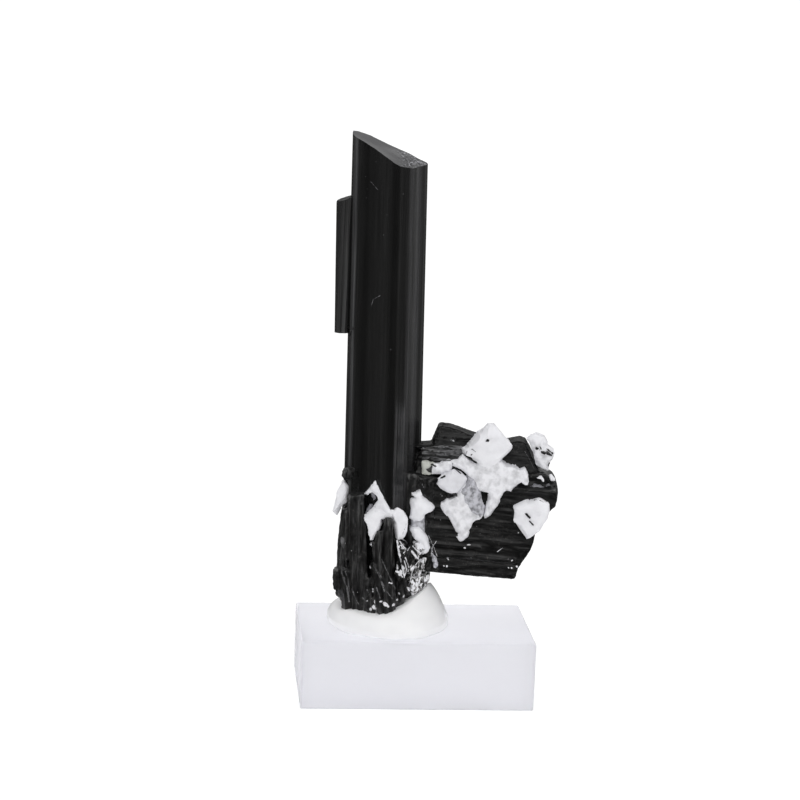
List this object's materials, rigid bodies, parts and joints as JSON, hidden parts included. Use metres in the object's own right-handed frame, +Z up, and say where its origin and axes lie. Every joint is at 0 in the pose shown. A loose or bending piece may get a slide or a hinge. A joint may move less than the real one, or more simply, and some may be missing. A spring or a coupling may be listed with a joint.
{
  "type": "tourmaline crystal specimen",
  "caption": "Tall striated black tourmaline prism with a stubby cross crystal and white albite at its foot, set upright in white putty on a clear acrylic block.",
  "frame": {"origin": "centre of the acrylic block's bottom face", "axes": "+Z up, the way the specimen stands; +X to the right of the side it is shown from, along the block's length; +Y towards the back, across the block's width"},
  "size_m": [0.0351, 0.019, 0.0771],
  "materials": {
    "tourmaline": "natural striated crystal faces, satin lustre",
    "albite": "natural, slightly translucent white",
    "putty": "smooth, pressed by hand, slightly glossy",
    "acrylic": "clear cast, polished"
  },
  "bodies": {
    "root": {"tourmaline_crystals": "tourmaline", "albite_centre_cluster": "albite", "albite_right_crystal": "albite", "albite_top_right_crystal": "albite", "albite_bead_left": "albite", "albite_bead_right": "albite", "albite_left_blade": "albite", "albite_spearhead": "albite", "albite_foot_crust": "albite", "albite_thin_blade": "albite", "adhesive_mound": "putty", "acrylic_block": "acrylic"}
  },
  "joints": []
}
